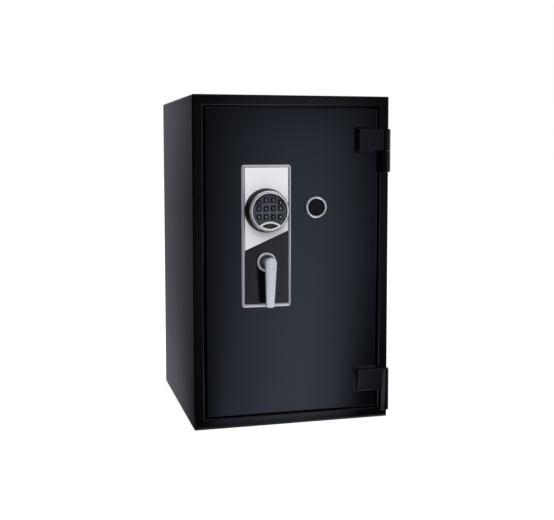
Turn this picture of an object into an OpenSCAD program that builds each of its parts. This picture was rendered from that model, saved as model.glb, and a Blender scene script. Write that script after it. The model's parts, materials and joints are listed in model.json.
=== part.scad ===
// Fireproof safe with a keypad, a key lock and rack-and-pinion boltwork.
// Origin: centre of the footprint on the floor. X runs to the right, Y to the back, Z up.

/* [Cabinet] */
// Overall width of the cabinet
body_w = 465; // [440:5:520]
// Overall depth of the cabinet
body_d = 475; // [450:5:560]
// Overall height of the cabinet
body_h = 760; // [720:5:880]
// Radius of the cabinet's outer edges
edge_r = 4; // [3:0.5:6]
// Thickness of the outer steel skin
skin_t = 3; // [2:0.5:4]
// Distance from the outside to the inner face of the liner
wall_t = 50; // [48:1:60]
// Thickness of the liner's sheet
liner_t = 2; // [1:0.5:3]
// Width of the front band round the door opening
band_w = 25; // [23:0.5:28]
// Radius of the rolled edge round the door opening
roll_r = 4; // [2:0.5:6]
// Depth of the rolled lip behind the front band
lip_d = 15; // [10:1:20]
// Thickness of the back panel
back_t = 3; // [2:0.5:4]
// How far the back panel sits inside the rear edge
back_recess = 3; // [1:0.5:6]

/* [Door jamb] */
// Thickness of the jamb's sheet
jamb_t = 2.5; // [1.5:0.5:3]
// Width of the jamb's step
step_w = 17.5; // [15:0.5:20]
// Depth of the jamb behind its step
jamb_inner_d = 50; // [48:1:56]
// Thickness of the fire seal
seal_t = 2.5; // [1.5:0.5:4]
// Width of the fire seal
seal_w = 9; // [6:0.5:10]
// Gap between the closed door and the fire seal
seal_gap = 0.5; // [0.3:0.1:1]

/* [Anchoring] */
// Radius of the anchor holes
anchor_r = 7; // [5:0.5:9]
// Wall of the anchor sleeves
sleeve_wall = 2; // [1.5:0.5:4]
// Distance between the anchor holes, left to right
anchor_dx = 240; // [160:10:280]
// Distance between the anchor holes, front to back
anchor_dy = 200; // [120:10:240]
// Distance of the anchor pattern behind the cabinet's centre
anchor_y = 20; // [0:5:30]

/* [Shelves] */
// Thickness of the shelf sheet
shelf_t = 2; // [1:0.5:3]
// Height of the shelf's folded lips
shelf_lip = 22; // [15:1:30]
// Distance of the shelf's front edge behind the jamb
shelf_setback = 20; // [10:1:60]
// Gap at the sides of a shelf
shelf_gap = 1; // [0.5:0.5:3]
// Width of the slotted shelf strips
strip_w = 20; // [16:1:30]
// Thickness of the slotted shelf strips
strip_t = 2.5; // [1.5:0.5:4]
// Distance from one slot to the next
slot_pitch = 25; // [20:1:32]
// Height of a slot
slot_h = 12; // [8:1:14]
// Width of a slot
slot_w = 4; // [3:0.5:6]
// Slot that carries the lower shelf
lower_slot = 7; // [3:1:9]
// Slot that carries the upper shelf
upper_slot = 15; // [12:1:18]

/* [Door] */
// Gap between the door and the front band
door_gap = 3.5; // [2.5:0.5:5]
// Thickness of the door's face
face_t = 4; // [3:0.5:6]
// Thickness of the door's folded edges
fold_t = 3; // [2:0.5:4]
// Radius of the door's front edges
door_r = 2.5; // [1:0.5:3]
// Depth of the door in front of the step
door_block_d = 34.5; // [30:0.5:40]
// Thickness of the bolt box's sheet
pan_t = 2.5; // [1.5:0.5:3]
// Depth of the bolt box
boltbox_d = 48; // [46:1:52]
// Width of the lip that the rear cover is screwed to
pan_lip = 15; // [12:1:18]
// Thickness of the rear cover
cover_t = 2; // [1:0.5:3]
// Gap over and under the bolt box
box_gap = 3; // [2:0.5:5]
// Gap at the hinge side of the bolt box
hinge_gap = 4; // [3:0.5:6]
// Gap by which the bolt box swings past the jamb
swing_gap = 1.5; // [1:0.5:3]

/* [Hinges] */
// Radius of the hinge knuckles
knuckle_r = 10.5; // [9:0.5:11]
// Radius of the hinge pins
pin_r = 6; // [4:0.5:7]
// Height of a hinge knuckle on the door
door_knuckle_h = 50; // [40:1:60]
// Height of a hinge knuckle on the cabinet
body_knuckle_h = 49.5; // [40:1:55]
// Height of the lower hinge's joint between its knuckles
lower_hinge_z = 71; // [65:1:90]
// Distance of the upper hinge's joint below the top
upper_hinge_drop = 126; // [110:1:160]
// Length of the hinge strap from the pin
strap_len = 69; // [50:1:90]
// Thickness of the hinge strap
strap_t = 18; // [10:0.5:19]
// Gap between the moving and the fixed hinge pieces
knuckle_gap = 0.3; // [0.2:0.1:0.5]
// Radial running clearance on a hinge pin
pin_fit = 0.06; // [0.03:0.01:0.1]

/* [Panel on the door] */
// Distance of the panel's centre line left of the cabinet's centre
panel_left = 64; // [50:0.5:75]
// Height of the panel's lower edge
panel_z = 278; // [260:1:300]
// Width of the panel
panel_w = 115.5; // [115.5:0.5:130]
// Height of the panel
panel_h = 324.5; // [300:0.5:360]
// Width of the panel's frame
panel_border = 7; // [4:0.5:7]
// Thickness of the panel's frame
panel_t = 2.5; // [2:0.1:4]
// Thickness of the plates in the frame
panel_plate_t = 1.7; // [1:0.1:2.5]
// Height above the panel's lower edge of the dividing line at its left end
split_left = 130; // [110:1:150]
// Height above the panel's lower edge of the dividing line at its right end
split_right = 175; // [150:1:190]

/* [Keypad] */
// Height of the keypad's centre
pad_z = 499; // [480:1:520]
// Radius of the keypad at its foot
pad_r = 50.5; // [48:0.5:50.5]
// Outer radius of the bezel
bezel_r = 46; // [44:0.5:46.5]
// Inner radius of the bezel
bezel_hole_r = 40; // [39:0.5:40]
// Height of the keypad to the back of its face
pad_deep = 28.6; // [24:0.2:30]
// Thickness of the keypad's face
pad_face_t = 2; // [1.5:0.1:3]
// Height of the bezel over the keypad's face
bezel_h = 5.5; // [3.5:0.1:6]
// Size of a key
key_size = 11; // [9:0.5:11.5]
// Distance from one key column to the next
key_dx = 16.5; // [16:0.5:18]
// Distance from one key row to the next
key_dz = 19; // [17:0.5:20]
// Travel of a key
key_travel = 1; // [0.5:0.1:1.4]
// How far a key stands out of the face
key_out = 2.5; // [1.5:0.1:3]
// Width of the eye-shaped rim
eye_w = 51; // [46:1:56]
// Height of the eye-shaped rim
eye_h = 20.4; // [16:0.2:21]
// Width of the band round the eye-shaped rim
eye_rim = 4.2; // [3:0.1:5]

/* [Key lock] */
// Distance of the key lock right of the cabinet's centre
key_x = 53; // [48:1:60]
// Height of the key lock
key_z = 504.5; // [490:0.5:515]
// Outer radius of the key lock's ring
ring_r = 24.9; // [22:0.1:27]
// Inner radius of the key lock's ring
ring_hole_r = 19.7; // [17:0.1:20]
// Height of the key lock's ring
ring_h = 9.5; // [7:0.5:12]
// Bore radius of the key's guide tube
key_bore_r = 7; // [5:0.5:8]

/* [Lever] */
// Height of the lever's axis
lever_z = 381; // [372:1:386]
// Length of the lever from its axis to the tip
lever_len = 99; // [85:1:100]
// Width of the lever at its head
lever_head_w = 24.5; // [24:0.5:28]
// Width of the lever at its tip
lever_tip_w = 17.5; // [16:0.5:22]
// Distance from the panel to the front of the lever's head
lever_out = 51; // [44:0.5:54]
// Thickness of the lever at its head
lever_t = 15; // [12:0.5:17]
// Angle by which the lever slopes back towards the door
lever_slope = 6.5; // [4:0.5:8]
// Radius of the rosette
rosette_r = 22; // [20:0.5:26]
// Radius of the lever's neck
neck_r = 10; // [8:0.5:11]
// Radius of the spindle
spindle_r = 5; // [4:0.5:6]

/* [Boltwork] */
// Module of the rack and pinion
gear_m = 2; // [2:0.25:2.5]
// Number of teeth on the pinion
pinion_teeth = 16; // [16:1:18]
// Play between the teeth of the rack and the pinion
tooth_play = 0.3; // [0.2:0.05:0.5]
// Thickness of the sliding carriage
carriage_t = 8; // [6:0.5:10]
// Radius of the locking bolts
bolt_r = 11; // [9:0.5:12]
// Length of a locking bolt in front of the carriage
bolt_len = 36.5; // [36:0.5:44]
// Distance from one locking bolt to the next
bolt_pitch = 205; // [190:5:215]
// Radius of the fixed dogs on the hinge side
dog_r = 10; // [8:0.5:11]
// Length of the fixed dogs
dog_len = 12; // [9:0.5:13]
// Travel of the two lock bolts
lock_throw = 12; // [8:0.5:12]
// Width of a lock case
case_w = 68; // [56:1:72]
// Height of a lock case
case_h = 78; // [66:1:84]
// Depth of a lock case
case_d = 34; // [31:1:38]

/* [Hidden] */
$fn = 64;

// Small amount by which a cut runs past a face
cut = 1;
// Gap between pieces that are fitted into each other
fit = 0.1;
// Gap between flat faces that slide past each other
slide_gap = 0.3;
// Radial clearance of a shaft in its bearing
shaft_fit = 0.05;
// Gap left round the teeth at their roots, as a share of the module
root_gap = 0.3;

// Planes from the front to the back
front_y = -body_d / 2;
door_back_y = front_y + door_block_d;
step_y = door_back_y + seal_gap + seal_t;
jamb_end_y = step_y + jamb_inner_d;
box_back_y = door_back_y + boltbox_d;
cover_y = box_back_y + cover_t;
liner_y = jamb_end_y + jamb_t;
liner_back_y = body_d / 2 - wall_t;
back_panel_y = body_d / 2 - back_recess - back_t;
bolt_setback = 25;
bolt_y = door_back_y + bolt_setback;

// Door opening, in front of the jamb's step and behind it
open_hw = body_w / 2 - band_w;
open_hh = body_h / 2 - band_w;
inner_hw = open_hw - step_w;
inner_hh = open_hh - step_w;
mid_z = body_h / 2;

// Inside of the liner
room_hw = body_w / 2 - wall_t;
room_hh = body_h / 2 - wall_t;

// Door and bolt box
door_hw = open_hw - door_gap;
door_hh = open_hh - door_gap;
box_hh = inner_hh - box_gap;
box_right = inner_hw - hinge_gap;

// The hinge's axis stands clear in front of the band, near the cabinet's side
hinge_x = body_w / 2 - knuckle_r - 1;
hinge_y = front_y - knuckle_r - 0.5;
upper_hinge_z = body_h - upper_hinge_drop;

// The box's latch side is set back so that its rear corner swings past the jamb's step
step_reach = norm([inner_hw + hinge_x, step_y - hinge_y]);
box_reach = step_reach - swing_gap;
box_left = hinge_x - sqrt(pow(box_reach, 2) - pow(cover_y - hinge_y, 2));
box_hw = (box_right - box_left) / 2;
box_x = (box_right + box_left) / 2;

// Panel on the door
panel_x = -panel_left;
plate_y = front_y - panel_plate_t;
plate_gap = 1.2;

// Rack and pinion: a quarter turn of the lever throws the bolts
pressure_angle = 20;
pitch_r = gear_m * pinion_teeth / 2;
base_r = pitch_r * cos(pressure_angle);
addendum = 0.9 * gear_m;
dedendum = addendum + root_gap * gear_m;
throw = pitch_r * PI / 2;
rack_z = lever_z + pitch_r;

// Locking bolts and the carriage behind them
bolt_x = box_left + 1.5;
bar_x = bolt_x + bolt_len;
bar_w = 12;
bar_d = 26;
bar_end = 30;
bolt_fit = shaft_fit;
arm_h = 24;
stud_r = 5;
stud_head_r = 9;
stud_head_t = 3;
lower_arm_rise = 25;
lower_arm_z = lever_z - bolt_pitch + lower_arm_rise;

// Locks: each lock bolt rises in front of a lug on the carriage's upper arm
lock_top_z = 540;
lock_bolt_w = 12;
lock_bolt_d = 10;
lock_bolt_h = 30;
lug_w = 8;
lug_h = lock_throw;
lug_gap = 3;
upper_arm_z = lock_top_z + lug_gap + lug_h + arm_h / 2;
left_stud_set = 15;
left_stud_x = bar_x + bar_w + left_stud_set;
right_stud_set = 12;
right_stud_x = (panel_x + key_x) / 2 + right_stud_set;

// Keypad, measured forwards from the panel's plates
board_t = 1.6;
key_flange_t = 1;
key_flange_w = 0.75;
key_r = 2.5;
key_gap = 0.3;
board_h = pad_deep - 2 * key_gap - key_flange_t - key_travel;
shell_t = 2.5;
key_row_z = 6.3;
outer_key_drop = 5.3;
outer_key_tilt = 22;
cable_r = 5;
// The bezel's flank slopes in to a lip, and the eye-shaped rim ends at the lip's outer edge
bezel_lip = 3.2;
lip_r = bezel_hole_r + bezel_lip;
eye_z = pad_z - lip_r + eye_h / 2;

steel_black = [0.13, 0.14, 0.16];
door_black = [0.2, 0.22, 0.26];
chrome = [0.8, 0.81, 0.83];
silver = [0.86, 0.87, 0.88];
zinc = [0.62, 0.65, 0.68];
brass = [0.76, 0.62, 0.32];
cast_grey = [0.66, 0.65, 0.62];
plastic_black = [0.09, 0.09, 0.1];
rubber_grey = [0.27, 0.28, 0.31];

// A block across the door opening's centre line, between two planes
module block(half_w, half_h, from_y, to_y, x = 0)
    translate([x - half_w, from_y, mid_z - half_h]) cube([2 * half_w, to_y - from_y, 2 * half_h]);

// A flat rectangle with round corners
module rounded_rect(w, h, r) {
    square([w - 2 * r, h], center = true);
    square([w, h - 2 * r], center = true);
    for (x = [-1, 1], y = [-1, 1]) translate([x * (w / 2 - r), y * (h / 2 - r)]) circle(r);
}

// Extrudes an outline drawn in X and Z between two planes
module facing(from_y, to_y)
    translate([0, to_y, 0]) rotate([90, 0, 0]) linear_extrude(to_y - from_y) children();

// Extrudes an outline drawn in Y and Z between two planes
module sideways(from_x, to_x)
    translate([from_x, 0, 0]) rotate([90, 0, 90]) linear_extrude(to_x - from_x) children();

// Turns a profile of radius and height about an axis that points forwards from the door
module turned(x, y, z) translate([x, y, z]) rotate([90, 0, 0]) rotate_extrude() children();

// A round bar or hole along Y
module bar_y(x, z, r, from_y, to_y)
    translate([x, to_y, z]) rotate([90, 0, 0]) cylinder(r = r, h = to_y - from_y);

// A round bar or hole along X
module bar_x(y, z, r, from_x, to_x)
    translate([from_x, y, z]) rotate([0, 90, 0]) cylinder(r = r, h = to_x - from_x);

// A square shape whose two top corners are round
module round_top(w, h, r) {
    square([w, h - r]);
    translate([r, 0]) square([w - 2 * r, h]);
    for (x = [r, w - r]) translate([x, h - r]) circle(r);
}

// A block with all twelve edges round, standing on the floor
module soft_block(w, d, h, r) intersection() {
    translate([0, 0, h / 2]) rotate([90, 0, 0]) linear_extrude(2 * d, center = true) rounded_rect(w, h, r);
    linear_extrude(2 * h, center = true) rounded_rect(w, d, r);
    translate([0, 0, h / 2]) rotate([90, 0, 90]) linear_extrude(2 * w, center = true) rounded_rect(d, h, r);
}

module anchor_places()
    for (x = [-1, 1], y = [-1, 1]) translate([x * anchor_dx / 2, anchor_y + y * anchor_dy / 2, 0]) children();

// Inside of the steel skin, from the front band to the back panel or past it
module skin_hollow(from_y, to_y) facing(from_y, to_y) translate([0, mid_z])
    rounded_rect(body_w - 2 * skin_t, body_h - 2 * skin_t, max(edge_r - skin_t, 0.5));

// Mouth of the door opening: its edge rolls outwards in a quarter circle
module mouth_outline(half) {
    translate([-half, -cut]) square([2 * half, lip_d + 2 * cut]);
    difference() {
        translate([-half - roll_r, -cut]) square([2 * (half + roll_r), roll_r + cut]);
        for (x = [-1, 1]) translate([x * (half + roll_r), roll_r]) circle(roll_r);
    }
}

module mouth() translate([0, front_y, mid_z]) intersection() {
    linear_extrude(2 * body_h, center = true) mouth_outline(open_hw);
    rotate([0, -90, 0]) linear_extrude(2 * body_w, center = true) mouth_outline(open_hh);
}

module outer_casing() color(steel_black) difference() {
    union() {
        difference() {
            soft_block(body_w, body_d, body_h, edge_r);
            skin_hollow(front_y + skin_t, body_d / 2 + cut);
        }
        block(open_hw + roll_r, open_hh + roll_r, front_y + skin_t / 2, front_y + lip_d);
    }
    mouth();
    anchor_places() translate([0, 0, -cut]) cylinder(r = anchor_r, h = skin_t + 2 * cut);
}

module back_panel() color(steel_black) facing(back_panel_y, back_panel_y + back_t) translate([0, mid_z])
    rounded_rect(body_w - 2 * (skin_t + fit), body_h - 2 * (skin_t + fit), max(edge_r - skin_t, 0.5));

module bolt_heights() for (z = [-1:1]) translate([0, 0, lever_z + z * bolt_pitch]) children();

// Outline of a dog's socket: it runs forwards, because the dogs swing out of it
dog_swing = 4;
module dog_slot(r) {
    translate([bolt_y - dog_swing, -r]) square([dog_swing, 2 * r]);
    for (y = [0, dog_swing]) translate([bolt_y - y, 0]) circle(r);
}

module door_jamb() color(steel_black) difference() {
    union() {
        block(open_hw + jamb_t, open_hh + jamb_t, front_y + lip_d, step_y + jamb_t);
        block(inner_hw + jamb_t, inner_hh + jamb_t, step_y, liner_y);
    }
    block(open_hw, open_hh, front_y + lip_d - cut, step_y);
    block(inner_hw, inner_hh, step_y - cut, jamb_end_y);
    block(room_hw, room_hh, jamb_end_y - cut, liner_y + cut);
    bolt_heights() bar_x(bolt_y, 0, bolt_r + 1.5, -inner_hw - jamb_t - cut, -inner_hw + cut);
    bolt_heights() sideways(inner_hw - cut, inner_hw + jamb_t + cut) dog_slot(dog_r + 1);
}

// Steel cups behind the jamb that keep the fill away from the bolts and the dogs
cup_wall = 2;
bolt_cup_x = bolt_x - throw - 3;
dog_cup_x = box_right + dog_len + 3;
module bolt_cup(grow = 0)
    bar_x(bolt_y, 0, bolt_r + 2 + cup_wall + grow, bolt_cup_x - cup_wall - grow, -inner_hw - jamb_t);
module dog_cup(grow = 0)
    sideways(inner_hw + jamb_t, dog_cup_x + cup_wall + grow) dog_slot(dog_r + 1.5 + cup_wall + grow);

module bolt_pockets() color(zinc) bolt_heights() {
    difference() {
        bolt_cup();
        bar_x(bolt_y, 0, bolt_r + 2, bolt_cup_x, -inner_hw);
    }
    difference() {
        dog_cup();
        sideways(inner_hw, dog_cup_x) dog_slot(dog_r + 1.5);
    }
}

module anchor_sleeves() color(zinc) anchor_places() difference() {
    translate([0, 0, skin_t]) cylinder(r = anchor_r + sleeve_wall, h = wall_t - liner_t - skin_t);
    cylinder(r = anchor_r, h = wall_t);
}

module fire_fill() color(cast_grey) difference() {
    skin_hollow(front_y + skin_t, back_panel_y);
    block(open_hw + roll_r, open_hh + roll_r, front_y, front_y + lip_d);
    block(open_hw + jamb_t, open_hh + jamb_t, front_y + lip_d - cut, step_y + jamb_t);
    block(inner_hw + jamb_t, inner_hh + jamb_t, step_y, liner_y);
    block(room_hw + liner_t, room_hh + liner_t, liner_y - cut, liner_back_y + liner_t);
    anchor_places() cylinder(r = anchor_r + sleeve_wall + fit, h = wall_t);
    bolt_heights() bolt_cup(fit);
    bolt_heights() dog_cup(fit);
}

// The liner is a folded shell that stands on a floor sheet of its own
module inner_liner() color(door_black) {
    difference() {
        block(room_hw + liner_t, room_hh + liner_t, liner_y, liner_back_y + liner_t);
        block(room_hw, room_hh, liner_y - cut, liner_back_y);
        translate([0, 0, wall_t + fit - body_h / 2]) cube([body_w, body_d, body_h], center = true);
    }
    difference() {
        translate([-room_hw - liner_t, liner_y, wall_t - liner_t])
            cube([2 * (room_hw + liner_t), liner_back_y + liner_t - liner_y, liner_t]);
        anchor_places() cylinder(r = anchor_r, h = wall_t + cut);
    }
}

module fire_seal() color(cast_grey) difference() {
    half_gap = (step_w - seal_w) / 2;
    block(open_hw - half_gap, open_hh - half_gap, step_y - seal_t, step_y);
    block(inner_hw + half_gap, inner_hh + half_gap, step_y - seal_t - cut, step_y + cut);
}

// Hinges: the door's knuckles stand on the cabinet's and lift off their pins
pin_seat = 35;
knuckle_cap = 6;
knuckle_edge = 1.5;
pin_seat_fit = 0.02;

module knuckle(z, h, lower_edge, upper_edge) translate([hinge_x, hinge_y, z]) rotate_extrude()
    polygon([[0, 0], [knuckle_r - lower_edge, 0], [knuckle_r, lower_edge], [knuckle_r, h - upper_edge],
        [knuckle_r - upper_edge, h], [0, h]]);

module cabinet_hinge(z) color(steel_black) difference() {
    union() {
        knuckle(z - body_knuckle_h, body_knuckle_h, knuckle_edge, 0);
        translate([hinge_x - knuckle_r, hinge_y, z - body_knuckle_h + knuckle_edge])
            cube([2 * knuckle_r, front_y - hinge_y, body_knuckle_h - knuckle_edge]);
    }
    translate([hinge_x, hinge_y, z - pin_seat]) cylinder(r = pin_r + pin_seat_fit, h = pin_seat + cut);
}

// Strap: a thick block, bevelled at its end, its top and its bottom, that passes over the band
strap_edge = 1.5;
strap_lift = 0.5;
strap_x = hinge_x - strap_len;
module hinge_strap(z) intersection() {
    strap_front = front_y - strap_t;
    translate([0, 0, z]) linear_extrude(door_knuckle_h) polygon([
        [strap_x, front_y], [strap_x, strap_front + strap_edge], [strap_x + strap_edge, strap_front],
        [hinge_x, strap_front], [hinge_x, front_y - strap_lift], [door_hw, front_y - strap_lift],
        [door_hw, front_y]]);
    sideways(strap_x - cut, hinge_x + cut) translate([strap_front, z]) polygon([
        [0, strap_edge], [strap_edge, 0], [strap_t + cut, 0], [strap_t + cut, door_knuckle_h],
        [strap_edge, door_knuckle_h], [0, door_knuckle_h - strap_edge]]);
}

// Fillet weld round the strap's foot on the door
weld_leg = 5.5;
module strap_weld(z) intersection() {
    weld_end = door_hw - door_r;
    translate([0, 0, z - weld_leg]) linear_extrude(door_knuckle_h + 2 * weld_leg) polygon([
        [strap_x - weld_leg, front_y], [strap_x, front_y - weld_leg], [weld_end, front_y - weld_leg],
        [weld_end, front_y]]);
    sideways(strap_x - 2 * weld_leg, weld_end + cut) translate([front_y, z]) polygon([
        [0, -weld_leg], [-weld_leg, 0], [-weld_leg, door_knuckle_h], [0, door_knuckle_h + weld_leg]]);
}

module door_hinge(z) color(steel_black) difference() {
    union() {
        knuckle(z + knuckle_gap, door_knuckle_h, 0, knuckle_edge);
        hinge_strap(z + knuckle_gap);
        strap_weld(z + knuckle_gap);
    }
    translate([hinge_x, hinge_y, z - cut])
        cylinder(r = pin_r + pin_fit, h = cut + knuckle_gap + door_knuckle_h - knuckle_cap);
}

module hinge_pins() color(zinc) for (z = [lower_hinge_z, upper_hinge_z])
    translate([hinge_x, hinge_y, z - pin_seat])
        cylinder(r = pin_r, h = pin_seat + knuckle_gap + door_knuckle_h - knuckle_cap - slide_gap);

module cabinet_hinge_upper() cabinet_hinge(upper_hinge_z);
module cabinet_hinge_lower() cabinet_hinge(lower_hinge_z);
module door_hinge_upper() door_hinge(upper_hinge_z);
module door_hinge_lower() door_hinge(lower_hinge_z);

// Shelves on clips in slotted strips
strip_end_gap = 30;
strip_z = wall_t + strip_end_gap;
strip_h = 2 * room_hh - 2 * strip_end_gap;
slot_count = floor(strip_h / slot_pitch);
strip_inset = 38;
strip_places = [liner_y + shelf_setback + strip_inset, liner_back_y - strip_inset];
clip_h = 8;
clip_out = 9;
clip_w = 12;

function slot_z(index) = strip_z + slot_pitch * (index + 0.5);

module both_sides() for (side = [0, 1]) mirror([side, 0, 0]) children();

module shelf_strips() color(zinc) both_sides() for (y = strip_places)
    difference() {
        translate([room_hw - strip_t, y - strip_w / 2, strip_z]) cube([strip_t, strip_w, strip_h]);
        for (index = [0:slot_count - 1])
            translate([room_hw - strip_t - cut, y - slot_w / 2, slot_z(index) - slot_h / 2])
                cube([strip_t + 2 * cut, slot_w, slot_h]);
    }

module shelf_clips() color(zinc) both_sides() for (y = strip_places, index = [lower_slot, upper_slot])
    translate([room_hw - strip_t, y, slot_z(index)]) {
        translate([-clip_out, -clip_w / 2, -clip_h / 2]) cube([clip_out, clip_w, clip_h]);
        translate([-clip_out / 2, -slot_w / 2 + fit, -clip_h / 2])
            cube([clip_out / 2 + strip_t - fit, slot_w - 2 * fit, clip_h]);
    }

module shelf(index) color(door_black) {
    half_w = room_hw - strip_t - shelf_gap;
    shelf_y = liner_y + shelf_setback;
    shelf_d = liner_back_y - 2 - shelf_y;
    top_z = slot_z(index) + clip_h / 2;
    translate([-half_w, shelf_y, top_z]) cube([2 * half_w, shelf_d, shelf_t]);
    for (y = [shelf_y, shelf_y + shelf_d - shelf_t]) translate([-half_w, y, top_z + shelf_t - shelf_lip])
        cube([2 * half_w, shelf_t, shelf_lip]);
}

module shelf_upper() shelf(upper_slot);
module shelf_lower() shelf(lower_slot);

// Round openings through the door, for the spindle's bush, the key and the keypad's lead
bush_r = spindle_r + 3;
tube_r = key_bore_r + 2;
module door_holes() {
    bar_y(panel_x, lever_z, bush_r + fit, front_y - cut, door_back_y + cut);
    bar_y(key_x, key_z, tube_r + fit, front_y - cut, door_back_y + cut);
    bar_y(panel_x, pad_z, cable_r, front_y - cut, door_back_y + cut);
}

// Plan of the door with its round front edges
module door_outline(half) {
    translate([-half, door_r]) square([2 * half, door_block_d - door_r]);
    translate([-half + door_r, 0]) square([2 * (half - door_r), door_block_d]);
    for (x = [-1, 1]) translate([x * (half - door_r), door_r]) circle(door_r);
}

module door_plate() color(door_black) difference() {
    translate([0, front_y, mid_z]) intersection() {
        linear_extrude(2 * body_h, center = true) door_outline(door_hw);
        rotate([0, -90, 0]) linear_extrude(2 * body_w, center = true) door_outline(door_hh);
    }
    block(door_hw - fold_t, door_hh - fold_t, front_y + face_t, door_back_y + cut);
    door_holes();
}

module door_fill() color(cast_grey) difference() {
    block(door_hw - fold_t, door_hh - fold_t, front_y + face_t, door_back_y - pan_t);
    door_holes();
}

// Screws through the rear cover: two columns and one more at the top and at the bottom
screw_rows = 4;
screw_r = 2.5;
screw_head_r = 5;
screw_head_h = 2.2;
screw_edge = 1;
screw_grip = 6;
module screw_places() {
    side = box_hw - pan_lip / 2;
    end = box_hh - pan_lip / 2;
    for (x = [-1, 1], row = [0:screw_rows - 1])
        translate([box_x + x * side, 0, mid_z - end + row * 2 * end / (screw_rows - 1)]) children();
    for (z = [-1, 1]) translate([box_x, 0, mid_z + z * end]) children();
}

// The bolt box: a plate that closes the door's fill and a box behind it for the boltwork
bush_outer_r = bolt_r + 4;
dog_shank_r = 6;
module door_pan() color(steel_black) difference() {
    union() {
        block(door_hw - fold_t, door_hh - fold_t, door_back_y - pan_t, door_back_y);
        block(box_hw, box_hh, door_back_y - pan_t, box_back_y, box_x);
    }
    block(box_hw - pan_t, box_hh - pan_t, door_back_y, box_back_y - pan_t, box_x);
    block(box_hw - pan_lip, box_hh - pan_lip, box_back_y - pan_t - cut, box_back_y + cut, box_x);
    door_holes();
    bolt_heights() bar_x(bolt_y, 0, bush_outer_r + fit, box_left - cut, box_left + pan_t + cut);
    bolt_heights() bar_x(bolt_y, 0, dog_shank_r + fit, box_right - pan_t - cut, box_right + cut);
    screw_places() bar_y(0, 0, screw_r + fit, box_back_y - pan_t - cut, box_back_y + cut);
}

// Rear cover with a pressed field that stiffens it
field_inset = 40;
field_h = 1.5;
cover_corner_r = 8;
module cover_field(inset, from_y, to_y) facing(from_y, to_y) translate([box_x, mid_z])
    rounded_rect(2 * (box_hw - inset), 2 * (box_hh - inset), cover_corner_r);

module door_cover() color(door_black) difference() {
    union() {
        cover_field(0, box_back_y, cover_y);
        cover_field(field_inset, cover_y - cover_t / 2, cover_y + field_h);
    }
    cover_field(field_inset + cover_t, box_back_y - cut, box_back_y + field_h);
    screw_places() bar_y(0, 0, screw_r + fit, box_back_y - cut, cover_y + cut);
}

module cover_screws() color(zinc) screw_places() {
    bar_y(0, 0, screw_r, cover_y - screw_grip, cover_y);
    translate([0, cover_y, 0]) rotate([-90, 0, 0]) rotate_extrude() {
        square([screw_head_r - screw_edge, screw_head_h]);
        square([screw_head_r, screw_head_h - screw_edge]);
        translate([screw_head_r - screw_edge, screw_head_h - screw_edge]) circle(screw_edge);
    }
}

module hinge_dogs() color(zinc) bolt_heights() {
    bar_x(bolt_y, 0, dog_r, box_right, box_right + dog_len - 1);
    translate([box_right + dog_len - 1, bolt_y, 0]) rotate([0, 90, 0])
        cylinder(r1 = dog_r, r2 = dog_r - 1, h = 1);
    bar_x(bolt_y, 0, dog_shank_r, box_right - pan_t - 2, box_right);
}

// Panel: a frame round two plates that meet along a rising line
module panel_rect(inset, r) translate([panel_x, panel_z + panel_h / 2])
    rounded_rect(panel_w - 2 * inset, panel_h - 2 * inset, r);

// The frame's edges step down inside and outside
frame_step = 0.8;
module frame_ring(inset) difference() {
    panel_rect(inset, 5 - inset);
    panel_rect(panel_border - inset, 2 + inset);
}

module nameplate_frame() color(silver) {
    facing(front_y - panel_t + frame_step, front_y) frame_ring(0);
    facing(front_y - panel_t, front_y) frame_ring(frame_step);
}

// Area over the dividing line, or under it
module split_area(upper, shift) {
    half = panel_w / 2 - panel_border;
    rise = (split_right - split_left) / (2 * half);
    far = panel_w;
    far_z = upper ? panel_z + 2 * panel_h : panel_z - panel_h;
    polygon([[panel_x - far, panel_z + split_left - rise * (far - half) + shift],
        [panel_x + far, panel_z + split_right + rise * (far - half) + shift],
        [panel_x + far, far_z], [panel_x - far, far_z]]);
}

module panel_plate(upper, shift) difference() {
    facing(plate_y, front_y) intersection() {
        panel_rect(panel_border + plate_gap, 1.5);
        split_area(upper, shift);
    }
    bar_y(panel_x, lever_z, bush_r + fit, plate_y - cut, front_y + cut);
    bar_y(panel_x, pad_z, cable_r, plate_y - cut, front_y + cut);
}

module nameplate_silver_face() color(silver) panel_plate(true, fit);
module nameplate_black_face() color(plastic_black) panel_plate(false, 0);

// Keypad
board_r = bezel_hole_r + 0.7;
face_r = bezel_r - shell_t;
pad_back_t = 2;
ledge_r = bezel_hole_r - 4;
ledge_t = 3;
module keypad_housing() color(plastic_black) difference() {
    turned(panel_x, plate_y, pad_z) difference() {
        polygon([[0, 0], [pad_r, 0], [pad_r, 3], [bezel_r + 0.5, pad_deep], [0, pad_deep]]);
        translate([0, board_h - board_t]) square([board_r + key_gap, pad_deep]);
        translate([0, pad_back_t]) square([ledge_r, pad_deep]);
        translate([0, pad_back_t]) square([face_r, board_h - board_t - ledge_t - pad_back_t]);
    }
    bar_y(panel_x, pad_z, cable_r, plate_y - pad_back_t - cut, plate_y + cut);
}

// Eye shape: two equal arcs, drawn in by a margin
module eye(inset) {
    arc_r = (pow(eye_w / 2, 2) + pow(eye_h / 2, 2)) / eye_h;
    intersection_for (side = [-1, 1])
        translate([panel_x, eye_z + side * (arc_r - eye_h / 2)]) circle(arc_r - inset);
}

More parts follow.
